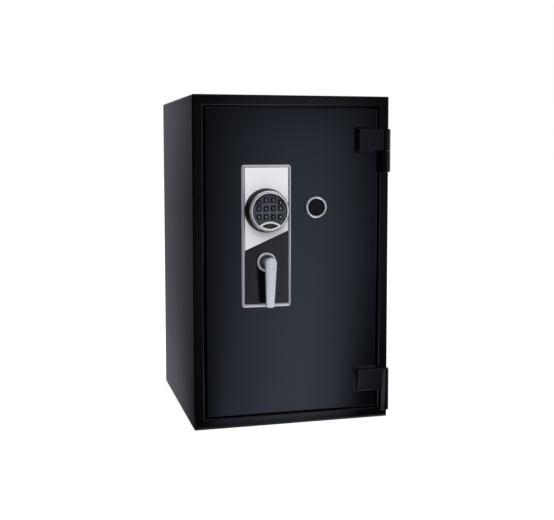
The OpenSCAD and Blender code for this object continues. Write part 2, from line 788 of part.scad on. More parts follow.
face_front = pad_deep + pad_face_t;
bezel_top = face_front + bezel_h;
bezel_foot = 1.2;
lip_edge = 0.6;
eye_out = 0.5;
module keypad_bezel() color(chrome) difference() {
    union() {
        turned(panel_x, plate_y, pad_z) difference() {
            polygon([[bezel_hole_r, pad_deep], [bezel_r, pad_deep], [bezel_r, pad_deep + bezel_foot],
                [lip_r, bezel_top - lip_edge], [lip_r - lip_edge, bezel_top],
                [bezel_hole_r + lip_edge, bezel_top], [bezel_hole_r, bezel_top - lip_edge]]);
            square([face_r + fit, face_front]);
        }
        facing(plate_y - face_front - bezel_h - eye_out, plate_y - face_front) eye(0);
    }
    facing(plate_y - face_front - 2 * bezel_h, plate_y - face_front + cut) eye(eye_rim);
}

module keypad_lens() color(plastic_black)
    facing(plate_y - face_front - bezel_h + 1, plate_y - face_front) eye(eye_rim + fit);

// Place and tilt of each key: the outer keys of the top row follow the circle
function key_place(index) =
    let (row = floor(index / 4), column = index % 4 - 1.5, outer = abs(column) > 1, top = row == 0)
    [panel_x + column * key_dx, pad_z + key_row_z + (1 - row) * key_dz - (outer && top ? outer_key_drop : 0),
        outer && top ? -sign(column) * outer_key_tilt : 0];

module key_outline(index, grow) {
    place = key_place(index);
    translate([place[0], place[1]]) rotate(place[2])
        rounded_rect(key_size + 2 * grow, key_size + 2 * grow, key_r + grow);
}

// The field round the keys stands a little higher than the groove inside the bezel
field_rise = 0.6;
field_gap = 1;
module keypad_face() color(rubber_grey) difference() {
    union() {
        bar_y(panel_x, pad_z, face_r, plate_y - face_front, plate_y - pad_deep);
        difference() {
            face_y = plate_y - face_front;
            bar_y(panel_x, pad_z, bezel_hole_r - field_gap, face_y - field_rise, face_y);
            facing(face_y - bezel_h, face_y) eye(-field_gap);
        }
    }
    for (index = [0:11])
        facing(plate_y - face_front - cut, plate_y - pad_deep + cut) key_outline(index, key_gap);
}

// A key's top is crowned
key_crown_r = 26;
module key(index) color(plastic_black) {
    place = key_place(index);
    flange_h = pad_deep - key_gap;
    key_front = plate_y - face_front - key_out;
    intersection() {
        facing(key_front, plate_y - flange_h) key_outline(index, 0);
        translate([place[0], key_front + key_crown_r, place[1]]) sphere(key_crown_r);
    }
    facing(plate_y - flange_h, plate_y - flange_h + key_flange_t) key_outline(index, key_flange_w);
}

module keypad_board() color([0.1, 0.35, 0.2]) difference() {
    bar_y(panel_x, pad_z, board_r, plate_y - board_h, plate_y - board_h + board_t);
    bar_y(panel_x, pad_z, cable_r / 2, plate_y - board_h - cut, plate_y);
}

battery_w = 48.5;
battery_h = 26.5;
battery_d = 17.5;
battery_drop = 12.6;
battery_corner = 2;
module keypad_battery() color(zinc)
    facing(plate_y - pad_back_t - battery_d, plate_y - pad_back_t)
        translate([panel_x, pad_z - battery_drop]) rounded_rect(battery_w, battery_h, battery_corner);

// Key lock: ring, cover and the tube that guides the key through the door
ring_foot = 0.7;
cap_sunk = 1.5;
module key_lock_ring() color(chrome) turned(key_x, front_y, key_z) {
    polygon([[ring_hole_r, 0], [ring_r + ring_foot, 0], [ring_r, ring_h - 2], [ring_hole_r, ring_h - 2]]);
    translate([ring_hole_r, ring_h - 3]) round_top(ring_r - ring_hole_r, 3, 2);
}

module keyhole_cap() color(plastic_black) turned(key_x, front_y, key_z) {
    cap_r = ring_hole_r - slide_gap;
    cap_h = ring_h - cap_sunk;
    difference() {
        translate([0, slide_gap]) square([cap_r, cap_h - slide_gap]);
        translate([cap_r - 2.2, cap_h - 0.8]) square([1, 1]);
        square([tube_r + 2, 2]);
    }
}

module key_tube() color(brass) difference() {
    bar_y(key_x, key_z, tube_r, front_y, door_back_y);
    bar_y(key_x, key_z, key_bore_r, front_y - cut, door_back_y + cut);
}

// Lever: its front is crowned and slopes back to the door, and its sides taper
rosette_h = 6.5;
rim_w = 3.8;
crown_r = 60;
head_rise = 1.5;
lever_tip_t = 9;
tip_corner = 4;
neck_gap = 0.4;
module handle_rosette() color(chrome) turned(panel_x, plate_y, lever_z) polygon([
    [neck_r + neck_gap, 0], [rosette_r, 0], [rosette_r, rosette_h - 3], [rosette_r - 0.6, rosette_h - 1],
    [rosette_r - rim_w / 2, rosette_h], [rosette_r - rim_w + 0.8, rosette_h - 0.6],
    [rosette_r - rim_w, rosette_h - 2.6], [neck_r + neck_gap, rosette_h - 4.4]]);

module lever_outline() {
    head_r = lever_head_w / 2;
    tip = lever_tip_w / 2;
    translate([0, head_rise]) circle(head_r);
    polygon([[-head_r, head_rise], [head_r, head_rise], [tip, tip_corner - lever_len],
        [-tip, tip_corner - lever_len]]);
    translate([tip_corner - tip, -lever_len]) square([2 * (tip - tip_corner), tip_corner + cut]);
    for (x = [-1, 1]) translate([x * (tip - tip_corner), tip_corner - lever_len]) circle(tip_corner);
}

module lever_arm() {
    top = head_rise + lever_head_w / 2;
    tip_front = -lever_out + (lever_len + top) * tan(lever_slope);
    intersection() {
        rotate([90, 0, 0]) linear_extrude(3 * lever_out, center = true) lever_outline();
        rotate([90, 0, 90]) linear_extrude(2 * lever_head_w, center = true) polygon([[-lever_out, top],
            [tip_front, -lever_len], [tip_front + lever_tip_t, -lever_len], [-lever_out + lever_t, top]]);
        translate([0, -lever_out, top]) rotate([lever_slope, 0, 0])
            linear_extrude(4 * lever_len, center = true) translate([0, crown_r]) circle(crown_r);
    }
}

spindle_front = lever_out - 8;
neck_h = lever_out - lever_t + 1;
module lever_handle() color(chrome) difference() {
    union() {
        translate([panel_x, plate_y, lever_z]) lever_arm();
        turned(panel_x, plate_y, lever_z) polygon([[0, slide_gap], [neck_r, slide_gap],
            [neck_r, neck_h - 5], [neck_r + 2, neck_h], [0, neck_h]]);
    }
    bar_y(panel_x, lever_z, spindle_r + pin_seat_fit, plate_y - spindle_front - slide_gap, plate_y);
}

bush_flange_t = 4;
pinion_w = carriage_t + 2;
pinion_boss = 5;
module handle_spindle() color(zinc) {
    bar_y(panel_x, lever_z, spindle_r, plate_y - spindle_front, bolt_y + pinion_w / 2 + pinion_boss + 1);
    bar_y(panel_x, lever_z, spindle_r + 2, door_back_y + bush_flange_t + slide_gap, bolt_y - pinion_w / 2);
}

module spindle_bush() color(brass) difference() {
    union() {
        bar_y(panel_x, lever_z, bush_r, plate_y, door_back_y + bush_flange_t);
        bar_y(panel_x, lever_z, bush_r + 4, door_back_y, door_back_y + bush_flange_t);
    }
    bar_y(panel_x, lever_z, spindle_r + shaft_fit, plate_y - cut, door_back_y + bush_flange_t + cut);
}

// Involute of the base circle: the flank's angle from the tooth's centre line at a radius
function inv(radius) = radius <= base_r ? 0 : let (a = acos(base_r / radius)) tan(a) * 180 / PI - a;
function flank_angle(radius) =
    (PI * gear_m / 2 - tooth_play / 2) / (2 * pitch_r) * 180 / PI + inv(pitch_r) - inv(radius);

flank_steps = 6;
root_r = pitch_r - dedendum;
tip_r = pitch_r + addendum;
function flank_radii() =
    [root_r, for (step = [0:flank_steps]) base_r + (tip_r - base_r) * step / flank_steps];

// A point on a tooth's flank, before (-1) or after (1) the tooth's centre line
function flank_point(radius, middle, side) =
    let (angle = middle + side * flank_angle(radius)) radius * [cos(angle), sin(angle)];

// The pinion has a tooth at its top when the lever hangs down
module pinion_outline() {
    radii = flank_radii();
    last = len(radii) - 1;
    polygon([for (tooth = [0:pinion_teeth - 1]) let (middle = 90 + 360 * tooth / pinion_teeth) each [
        for (i = [0:last]) flank_point(radii[i], middle, -1),
        for (i = [last:-1:0]) flank_point(radii[i], middle, 1)]]);
}

module drive_pinion() color(zinc) difference() {
    union() {
        facing(bolt_y - pinion_w / 2, bolt_y + pinion_w / 2) translate([panel_x, lever_z]) pinion_outline();
        bar_y(panel_x, lever_z, spindle_r + 4, bolt_y, bolt_y + pinion_w / 2 + pinion_boss);
    }
    bar_y(panel_x, lever_z, spindle_r + pin_seat_fit, bolt_y - pinion_w, bolt_y + 2 * pinion_w);
}

// Rack with straight flanks; a gap stands over the pinion's top tooth
rack_pitch = PI * gear_m;
rack_body = 12;
rack_first = -3;
// A quarter turn takes a quarter of the pinion's teeth along the rack
rack_last = ceil(pinion_teeth / 4) + 2;
module rack_outline() {
    half = (rack_pitch / 2 - tooth_play / 2) / 2;
    half_tip = half - addendum * tan(pressure_angle);
    half_root = half + dedendum * tan(pressure_angle);
    right = panel_x + (rack_last + 1) * rack_pitch;
    polygon([[bar_x, rack_z + dedendum + rack_body], [bar_x, rack_z + dedendum],
        for (tooth = [rack_first:rack_last]) let (middle = panel_x + (tooth + 0.5) * rack_pitch) each [
            [middle - half_root, rack_z + dedendum], [middle - half_tip, rack_z - addendum],
            [middle + half_tip, rack_z - addendum], [middle + half_root, rack_z + dedendum]],
        [right + 3, rack_z + dedendum], [right + 3, rack_z + dedendum + rack_body]]);
}

// Slot for a guide stud, as long as the throw
module stud_slot(x, z) {
    slot_r = stud_r + slide_gap;
    translate([x, z - slot_r]) square([throw, 2 * slot_r]);
    for (end = [0, throw]) translate([x + end, z]) circle(slot_r);
}

lug_places = [panel_x + throw / 2, key_x + throw / 2];
module carriage_outline() difference() {
    union() {
        rack_outline();
        translate([bar_x, upper_arm_z - arm_h / 2]) square([lug_places[1] + lug_w - bar_x, arm_h]);
        for (x = lug_places) translate([x - lug_w / 2, lock_top_z + lug_gap]) square([lug_w, lug_h + cut]);
        translate([bar_x, lower_arm_z - arm_h / 2]) square([left_stud_x + throw + stud_r + 8 - bar_x, arm_h]);
    }
    stud_slot(left_stud_x, upper_arm_z);
    stud_slot(right_stud_x, upper_arm_z);
    stud_slot(left_stud_x, lower_arm_z);
}

module bolt_carriage() color(zinc) {
    facing(bolt_y - carriage_t / 2, bolt_y + carriage_t / 2) carriage_outline();
    bar_bottom = lever_z - bolt_pitch - bar_end;
    bar_top = max(lever_z + bolt_pitch + bar_end, upper_arm_z + arm_h / 2);
    translate([bar_x, bolt_y - bar_d / 2, bar_bottom]) cube([bar_w, bar_d, bar_top - bar_bottom]);
}

bolt_tip = 1.5;
module locking_bolts() color(chrome) bolt_heights() {
    bar_x(bolt_y, 0, bolt_r, bolt_x + bolt_tip, bar_x);
    translate([bolt_x, bolt_y, 0]) rotate([0, 90, 0])
        cylinder(r1 = bolt_r - bolt_tip, r2 = bolt_r, h = bolt_tip);
}

bolt_bush_len = 12;
module guide_bushes() color(brass) bolt_heights() difference() {
    union() {
        bar_x(bolt_y, 0, bush_outer_r, box_left, box_left + bolt_bush_len);
        bar_x(bolt_y, 0, bush_outer_r + 3, box_left + pan_t, box_left + pan_t + 3);
    }
    bar_x(bolt_y, 0, bolt_r + bolt_fit, box_left - cut, box_left + bolt_bush_len + cut);
}

module guide_studs() color(zinc)
    for (place = [[left_stud_x, upper_arm_z], [right_stud_x, upper_arm_z], [left_stud_x, lower_arm_z]]) {
        carriage_front = bolt_y - carriage_t / 2 - slide_gap;
        carriage_back = bolt_y + carriage_t / 2 + slide_gap;
        bar_y(place[0], place[1], stud_head_r, door_back_y, carriage_front);
        bar_y(place[0], place[1], stud_r, carriage_front, carriage_back);
        bar_y(place[0], place[1], stud_head_r, carriage_back, carriage_back + stud_head_t);
    }

// A bar as large as a lock bolt, or larger all round by a gap and taller by a height
module lock_bar(x, gap = 0, taller = 0)
    translate([x - lock_bolt_w / 2 - gap, bolt_y - lock_bolt_d / 2 - gap, lock_top_z - lock_bolt_h - gap])
        cube([lock_bolt_w + 2 * gap, lock_bolt_d + 2 * gap, lock_bolt_h + gap + taller]);

// Lock cases with a channel in which the lock bolt rises
case_corner = 4;
module lock_case(x) difference() {
    facing(door_back_y, door_back_y + case_d)
        translate([x, lock_top_z - case_h / 2]) rounded_rect(case_w, case_h, case_corner);
    lock_bar(x, slide_gap, cut);
}

module electronic_lock_case() color(cast_grey) lock_case(panel_x);

module key_lock_case() color(cast_grey) difference() {
    lock_case(key_x);
    bar_y(key_x, key_z, key_bore_r, door_back_y - cut, door_back_y + 8);
}

module electronic_lock_bolt() color(brass) lock_bar(panel_x);
module key_lock_bolt() color(brass) lock_bar(key_x);

outer_casing();
back_panel();
door_jamb();
fire_fill();
inner_liner();
anchor_sleeves();
fire_seal();
bolt_pockets();
cabinet_hinge_upper();
cabinet_hinge_lower();
hinge_pins();
shelf_upper();
shelf_lower();
shelf_strips();
shelf_clips();
door_plate();
door_fill();
door_pan();
door_cover();
cover_screws();
door_hinge_upper();
door_hinge_lower();
hinge_dogs();
nameplate_frame();
nameplate_silver_face();
nameplate_black_face();
keypad_housing();
keypad_bezel();
keypad_face();
keypad_lens();
keypad_board();
keypad_battery();
key(0);  // key_1
key(1);  // key_2
key(2);  // key_3
key(3);  // key_4
key(4);  // key_5
key(5);  // key_6
key(6);  // key_7
key(7);  // key_8
key(8);  // key_9
key(9);  // key_0
key(10);  // key_clear
key(11);  // key_enter
key_lock_ring();
keyhole_cap();
key_tube();
handle_rosette();
spindle_bush();
lever_handle();
handle_spindle();
drive_pinion();
bolt_carriage();
locking_bolts();
guide_bushes();
guide_studs();
electronic_lock_case();
electronic_lock_bolt();
key_lock_case();
key_lock_bolt();
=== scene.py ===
import json
from math import pi, radians

import bpy
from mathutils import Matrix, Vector


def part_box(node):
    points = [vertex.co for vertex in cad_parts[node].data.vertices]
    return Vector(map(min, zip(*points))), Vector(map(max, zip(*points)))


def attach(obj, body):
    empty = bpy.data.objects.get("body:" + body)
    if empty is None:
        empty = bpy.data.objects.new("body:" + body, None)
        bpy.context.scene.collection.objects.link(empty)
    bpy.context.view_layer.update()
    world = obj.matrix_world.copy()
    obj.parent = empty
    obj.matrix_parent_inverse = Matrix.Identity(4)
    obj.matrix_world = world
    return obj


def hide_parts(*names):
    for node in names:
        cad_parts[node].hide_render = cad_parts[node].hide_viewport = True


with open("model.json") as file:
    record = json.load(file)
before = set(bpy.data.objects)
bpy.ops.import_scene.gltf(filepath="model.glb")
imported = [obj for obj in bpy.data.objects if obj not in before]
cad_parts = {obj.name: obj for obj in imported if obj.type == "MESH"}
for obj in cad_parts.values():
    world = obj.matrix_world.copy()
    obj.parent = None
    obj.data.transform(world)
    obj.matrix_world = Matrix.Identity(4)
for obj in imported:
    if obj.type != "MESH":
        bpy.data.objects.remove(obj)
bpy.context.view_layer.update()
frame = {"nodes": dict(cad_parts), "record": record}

# Studio: the safe stands on a white floor before a white background. A tall white window stands in front,
# to the right of the camera, and dark cards round it keep the rest of the room out of the dark paint.
mm = 0.001
scene = bpy.context.scene
scene.view_settings.view_transform = "Standard"


def linear(colour):
    """Turns an sRGB hex colour to linear red, green, blue and alpha."""
    shares = [int(colour[place:place + 2], 16) / 255 for place in (1, 3, 5)]
    return [s / 12.92 if s <= 0.04045 else ((s + 0.055) / 1.055) ** 2.4 for s in shares] + [1]


def add(material, kind, sockets=None, **settings):
    """Adds a node to a material or the world, with its settings, and sets or links its sockets."""
    node = material.node_tree.nodes.new("ShaderNode" + kind)
    for name, value in settings.items():
        setattr(node, name, value)
    for name, value in (sockets or {}).items():
        if isinstance(value, bpy.types.NodeSocket):
            material.node_tree.links.new(value, node.inputs[name])
        else:
            node.inputs[name].default_value = value
    return node


def plane(name, size, place, turn):
    """A flat sheet of the studio, with its turns about X, Y and Z. It isn't part of the safe."""
    bpy.ops.mesh.primitive_plane_add(size=1, location=place, rotation=turn)
    sheet = bpy.context.object
    sheet.name = name
    sheet.scale = (size[0], size[1], 1)
    return sheet


def seen_directly(material):
    """1 for rays from the camera and for those that metal and glass send on, 0 for all others."""
    path = add(material, "LightPath").outputs
    sent_on = add(material, "Math", {0: path["Is Glossy Ray"], 1: path["Is Transmission Ray"]},
                  operation="MAXIMUM")
    seen = add(material, "Math", {0: path["Is Camera Ray"], 1: sent_on.outputs[0]}, operation="MAXIMUM")
    return seen.outputs[0]


# The floor adds white of its own only where it is seen, so that its shadow stays but is faint
level = (0, 0, 0)
floor_added_white = 0.68
bpy.ops.object.select_all(action="DESELECT")
floor = plane("floor", size=(40, 40), place=(0, 0, 0), turn=level)
floor_white = bpy.data.materials.new("white_floor")
floor_white.use_nodes = True
floor_shader = floor_white.node_tree.nodes["Principled BSDF"]
floor_shader.inputs["Base Color"].default_value = linear("#c4c4c4")
floor_shader.inputs["Roughness"].default_value = 0.9
floor_shader.inputs["Specular IOR Level"].default_value = 0.0
floor_glow = add(floor_white, "Math", {0: seen_directly(floor_white), 1: floor_added_white},
                 operation="MULTIPLY")
floor_shader.inputs["Emission Color"].default_value = (1, 1, 1, 1)
floor_white.node_tree.links.new(floor_glow.outputs[0], floor_shader.inputs["Emission Strength"])
floor.data.materials.append(floor_white)

# The background is white where it is seen, and lights the safe a little less
world = bpy.data.worlds.new("white_room")
scene.world = world
world.use_nodes = True
room_light = 0.8
background = world.node_tree.nodes["Background"]
background.inputs["Color"].default_value = (1, 1, 1, 1)
room_glow = add(world, "MapRange", {"Value": seen_directly(world), "To Min": room_light, "To Max": 1.0})
world.node_tree.links.new(room_glow.outputs[0], background.inputs["Strength"])

safe_middle = Vector((0, 0, 0.4))


def softbox(name, size, place, watts):
    """A soft box that points at the middle of the safe. No reflection shows it."""
    lamp = bpy.data.lights.new(name, "AREA")
    lamp.shape = "RECTANGLE"
    lamp.size = size[0]
    lamp.size_y = size[1]
    lamp.energy = watts
    box = bpy.data.objects.new(name, lamp)
    box.location = place
    box.rotation_euler = (safe_middle - Vector(place)).to_track_quat("-Z", "Y").to_euler()
    box.visible_glossy = False
    scene.collection.objects.link(box)


softbox("top_softbox", size=(2.4, 2.4), place=(0.8, -1.4, 3.0), watts=25)
softbox("front_softbox", size=(1.6, 1.6), place=(-0.6, -3.2, 2.4), watts=48)


def card(name, size, place, turn, material):
    """A card that only reflections meet."""
    sheet = plane(name, size, place, turn)
    sheet.data.materials.append(material)
    sheet.visible_camera = False
    sheet.visible_diffuse = False
    sheet.visible_shadow = False
    sheet.visible_transmission = False


def glowing(name):
    """A material that only shines, and its light."""
    material = bpy.data.materials.new(name)
    material.use_nodes = True
    material.node_tree.nodes.clear()
    light = add(material, "Emission")
    add(material, "OutputMaterial", {"Surface": light.outputs[0]})
    return material, light


def mirrored_place(material, eye, axis, reach):
    """The place on the safe, X, Y and Z in metres, in which the camera sees a point of a card mirrored.

    eye is the camera's mirror image behind the flat face, and reach is the way from it to the face along
    the axis.
    """
    away = add(material, "VectorMath", {0: add(material, "NewGeometry").outputs["Position"], 1: eye},
               operation="SUBTRACT")
    steps = add(material, "SeparateXYZ", {"Vector": away.outputs[0]})
    share = add(material, "Math", {0: reach, 1: steps.outputs[axis]}, operation="DIVIDE")
    to_face = add(material, "VectorMath", {0: away.outputs[0], "Scale": share.outputs[0]},
                  operation="SCALE")
    place = add(material, "VectorMath", {0: to_face.outputs[0], 1: eye})
    return add(material, "SeparateXYZ", {"Vector": place.outputs[0]}).outputs


def profile(material, place, stops, tint=(1, 1, 1)):
    """A tinted value that changes with a place, between stops of place in metres and value."""
    low = stops[0][0]
    high = stops[-1][0]
    share = add(material, "MapRange", {"Value": place, "From Min": low, "From Max": high})
    ramp = add(material, "ValToRGB", {"Fac": share.outputs["Result"]})
    while len(ramp.color_ramp.elements) < len(stops):
        ramp.color_ramp.elements.new(0.5)
    for element, (distance, value) in zip(ramp.color_ramp.elements, stops):
        element.position = (distance - low) / (high - low)
        element.color = [value * part for part in tint] + [1]
    return ramp.outputs["Color"]


camera_place = Vector((-0.5669, -2.2567, 0.6327))
door_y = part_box("door_plate")[0].y
side_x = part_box("outer_casing")[0].x

# The door mirrors a tall window in front of the safe, brightest right of the panel and dim overhead.
# Towards its foot the window leans 3 cm to the left.
window_lean = [(0.0, 0.03), (0.4, 0.0)]
window_across = [(-0.22, 0.0), (-0.18, 0.04), (-0.13, 0.68), (-0.02, 1.18), (0.05, 1.3), (0.12, 0.95),
                 (0.19, 0.05), (0.24, 0.02), (0.4, 0.0)]
window_upwards = [(0.0, 0.1), (0.03, 0.95), (0.2, 0.98), (0.35, 1.0), (0.6, 0.79), (0.7, 0.58),
                  (0.76, 0.2), (1.0, 0.03)]
window_light, window_shine = glowing("window_light")
door_eye = (camera_place.x, 2 * door_y - camera_place.y, camera_place.z)
door_place = mirrored_place(window_light, door_eye, "Y", door_y - door_eye[1])
lean = profile(window_light, door_place["Z"], window_lean)
leaning = add(window_light, "Math", {0: door_place["X"], 1: lean})
across = profile(window_light, leaning.outputs[0], window_across)
upwards = profile(window_light, door_place["Z"], window_upwards)
window = add(window_light, "VectorMath", {0: across, 1: upwards}, operation="MULTIPLY")
window_light.node_tree.links.new(window.outputs[0], window_shine.inputs["Color"])

upright = (radians(90), 0, 0)
above_floor = 1 * mm
card("front_card", size=(6.5, 3.2), place=(0.25, -2.6, 1.6), turn=upright, material=window_light)
card("front_floor_card", size=(5.0, 2.35), place=(0, -1.425, above_floor), turn=level,
     material=window_light)

# The left side mirrors a dim wall behind the safe, which fades out towards the door. At its foot and high
# up it reaches further forwards.
wall_reach = [(0.0, 0.12), (0.1, 0.1), (0.3, 0.03), (0.5, 0.0), (0.7, 0.12)]
wall_backwards = [(-0.24, 0.0), (-0.13, 0.03), (-0.03, 0.1), (0.1, 0.19), (0.4, 0.29)]
wall_tint = (0.93, 0.95, 1.06)
wall_light, wall_shine = glowing("wall_light")
side_eye = (2 * side_x - camera_place.x, camera_place.y, camera_place.z)
side_place = mirrored_place(wall_light, side_eye, "X", side_x - side_eye[0])
reaching = profile(wall_light, side_place["Z"], wall_reach)
fading = add(wall_light, "Math", {0: side_place["Y"], 1: reaching})
wall = profile(wall_light, fading.outputs[0], wall_backwards, wall_tint)
wall_light.node_tree.links.new(wall, wall_shine.inputs["Color"])
card("rear_card", size=(3.6, 3.0), place=(-1.7, 2.5, 1.5), turn=upright, material=wall_light)
card("rear_floor_card", size=(3.5, 2.74), place=(-1.75, 1.13, above_floor), turn=level,
     material=wall_light)

# A dark wall to the left and a dark ceiling, which the flanks of the proud pieces mirror
facing_sideways = (radians(90), 0, radians(90))
dark_wall, dark_shine = glowing("dark_wall")
dark_shine.inputs["Strength"].default_value = 0.03
card("left_card", size=(6.8, 3.2), place=(-2.6, -0.8, 1.6), turn=facing_sideways, material=dark_wall)
card("ceiling_card", size=(5.0, 3.0), place=(0, 0.2, 3.2), turn=level, material=dark_wall)

# Camera: it stands where the photographer stood, found from the corners of the cabinet. The height of the
# optical axis in the picture is kept by a small shift.
photo_w = 554
photo_h = 520
focal_length_px = 917
optical_axis_v = 222
sensor_w = 36
degrees_down = 4.40
degrees_leaning = 0.07
degrees_right = 14.67
camera_data = bpy.data.cameras.new("photo_camera")
camera_data.sensor_fit = "HORIZONTAL"
camera_data.sensor_width = sensor_w
camera_data.lens = sensor_w * focal_length_px / photo_w
camera_data.shift_y = (optical_axis_v - photo_h / 2) / photo_w
camera = bpy.data.objects.new("photo_camera", camera_data)
camera.location = camera_place
camera.rotation_euler = (radians(90 - degrees_down), radians(degrees_leaning), radians(-degrees_right))
scene.collection.objects.link(camera)
scene.camera = camera

# Cabinet: a welded steel wrap, its back and the jamb of the door opening, all in black polyester powder
# coat. The cured powder has a soft gloss and a fine orange peel.


def finish(name, colour, roughness, metallic=0.0):
    """A new material and its surface shader."""
    material = bpy.data.materials.new(name)
    material.use_nodes = True
    shader = material.node_tree.nodes["Principled BSDF"]
    shader.inputs["Base Color"].default_value = linear(colour)
    shader.inputs["Roughness"].default_value = roughness
    shader.inputs["Metallic"].default_value = metallic
    return material, shader


def link(material, output, shader, socket):
    """Leads a node's output into the surface shader."""
    material.node_tree.links.new(output, shader.inputs[socket])


def per_metre(size):
    """The scale of a pattern that repeats after a size in metres."""
    return 1 / size


def vary(material, shader, pattern, dark, light, rough_low, rough_high):
    """Leads a pattern into the colour, between two hex colours, and into the roughness."""
    colour = add(material, "ValToRGB", {"Fac": pattern})
    colour.color_ramp.elements[0].color = linear(dark)
    colour.color_ramp.elements[1].color = linear(light)
    link(material, colour.outputs["Color"], shader, "Base Color")
    rough = add(material, "MapRange", {"Value": pattern, "To Min": rough_low, "To Max": rough_high})
    link(material, rough.outputs["Result"], shader, "Roughness")


def wear(nodes, material):
    """Gives CAD nodes their material."""
    for name in nodes:
        for place in frame["nodes"][name].material_slots:
            place.material = material


def powder_coat(name, dark, light, sheen, roughness):
    """Powder coat: cloudy over a few centimetres, with an orange peel of about a millimetre."""
    material, shader = finish(name, dark, roughness)
    shader.inputs["Specular Tint"].default_value = linear(sheen)
    place = add(material, "TexCoord").outputs["Object"]
    cloud = add(material, "TexNoise", {"Vector": place, "Scale": per_metre(60 * mm), "Detail": 3.0})
    vary(material, shader, cloud.outputs["Fac"], dark, light, roughness - 0.02, roughness + 0.02)
    # The real grain of 0.5 mm is drawn at 1.2 mm, so that it shows
    grain = add(material, "TexNoise", {"Vector": place, "Scale": per_metre(1.2 * mm), "Detail": 2.0})
    peel = add(material, "Bump", {"Height": grain.outputs["Fac"], "Strength": 0.15, "Distance": 0.03 * mm})
    link(material, peel.outputs["Normal"], shader, "Normal")
    return material


casing_paint = powder_coat("black_powder_coat", "#040405", "#070708", sheen="#d6dff9", roughness=0.16)
wear(["outer_casing", "back_panel", "door_jamb"], casing_paint)

# Hinges: steel knuckles on pins, one half on the cabinet's front band and the other with a thick strap that
# is welded to the door. Their edges are rounded, and the black enamel is duller than the cabinet's coat.
bodies = frame["record"]["behaviour"]["bodies"]
body_of = {node: body for body, nodes in bodies.items() for node in nodes}


def select_only(piece):
    """Makes a piece the only one selected, and active."""
    bpy.ops.object.select_all(action="DESELECT")
    bpy.context.view_layer.objects.active = piece
    piece.select_set(True)


def stand_in(node, name):
    """A merged copy of a CAD node that stands for it and rides on its body."""
    piece = bpy.data.objects.new(name, frame["nodes"][node].data.copy())
    scene.collection.objects.link(piece)
    select_only(piece)
    bpy.ops.object.mode_set(mode="EDIT")
    bpy.ops.mesh.select_all(action="SELECT")
    bpy.ops.mesh.remove_doubles(threshold=0.005 * mm)
    bpy.ops.mesh.dissolve_limited(angle_limit=radians(0.05))
    bpy.ops.object.mode_set(mode="OBJECT")
    bpy.ops.mesh.customdata_custom_splitnormals_clear()
    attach(piece, body_of[node])
    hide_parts(node)
    return piece


def round_edges(piece, width, steps=3, sharper_than=30):
    """Rounds the edges of a piece that are sharper than an angle, and shades it smoothly."""
    select_only(piece)
    bevel = piece.modifiers.new("rounding", "BEVEL")
    bevel.width = width
    bevel.segments = steps
    bevel.limit_method = "ANGLE"
    bevel.angle_limit = radians(sharper_than)
    bpy.ops.object.modifier_apply(modifier=bevel.name)
    bpy.ops.object.shade_smooth_by_angle(angle=radians(40))
    shading = piece.modifiers.new("shading", "WEIGHTED_NORMAL")
    shading.keep_sharp = True
    bpy.ops.object.modifier_apply(modifier=shading.name)


hinge_edge = 0.5 * mm
hinge_nodes = ["cabinet_hinge_upper", "cabinet_hinge_lower", "door_hinge_upper", "door_hinge_lower"]
hinge_paint = powder_coat("black_hinge_enamel", "#040405", "#070708", sheen="#e4ebff", roughness=0.28)
wear(hinge_nodes, hinge_paint)
for node in hinge_nodes:
    round_edges(stand_in(node, node + "_forging"), hinge_edge)

# Fill of the walls and the door: fire-resistant concrete, poured in and left rough where nobody sees it.
# It is pale grey, with pores and grit.
concrete, concrete_shader = finish("cast_fire_concrete", "#a9a69e", roughness=0.9)
concrete_place = add(concrete, "TexCoord").outputs["Object"]
grit = add(concrete, "TexNoise", {"Vector": concrete_place, "Scale": per_metre(6 * mm), "Detail": 8.0})
vary(concrete, concrete_shader, grit.outputs["Fac"], "#8d8a83", "#bdbab2", rough_low=0.85,
     rough_high=0.95)
pores = add(concrete, "TexVoronoi", {"Vector": concrete_place, "Scale": per_metre(9 * mm)})
pits = add(concrete, "Bump", {"Height": pores.outputs["Distance"], "Strength": 0.5, "Distance": 0.8 * mm})
link(concrete, pits.outputs["Normal"], concrete_shader, "Normal")
wear(["fire_fill", "door_fill"], concrete)

# Inside of the cabinet and back of the door: a folded steel liner, two shelves, the bolt box and its cover,
# all in dark grey powder coat. The seal in the jamb is a strip of graphite foam that swells in a fire.
inner_paint = powder_coat("grey_powder_coat", "#33363b", "#3d4046", sheen="#ffffff", roughness=0.45)
wear(["inner_liner", "shelf_upper", "shelf_lower", "door_pan", "door_cover"], inner_paint)

seal_foam, seal_shader = finish("graphite_seal_foam", "#2a2928", roughness=0.85)
seal_place = add(seal_foam, "TexCoord").outputs["Object"]
cells = add(seal_foam, "TexVoronoi", {"Vector": seal_place, "Scale": per_metre(1.5 * mm)})
vary(seal_foam, seal_shader, cells.outputs["Distance"], "#1c1b1b", "#3a3836", rough_low=0.8,
     rough_high=0.9)
cell_bump = add(seal_foam, "Bump", {"Height": cells.outputs["Distance"], "Strength": 0.4,
                                    "Distance": 0.3 * mm})
link(seal_foam, cell_bump.outputs["Normal"], seal_shader, "Normal")
wear(["fire_seal"], seal_foam)

# Pressed and turned steel pieces. Zinc plating is bluish and slightly cloudy, and the turned bolts, dogs,
# pins, spindle and pinion are bright, with the fine rings of a lathe.
zinc_plate, zinc_shader = finish("bright_zinc_plate", "#a9b0b8", roughness=0.3, metallic=1.0)
zinc_place = add(zinc_plate, "TexCoord").outputs["Object"]
spangle = add(zinc_plate, "TexNoise", {"Vector": zinc_place, "Scale": per_metre(14 * mm), "Detail": 4.0})
vary(zinc_plate, zinc_shader, spangle.outputs["Fac"], "#949ca6", "#bcc2c9", rough_low=0.24,
     rough_high=0.38)
wear(["anchor_sleeves", "bolt_pockets", "shelf_strips", "shelf_clips", "cover_screws", "guide_studs",
      "bolt_carriage"], zinc_plate)

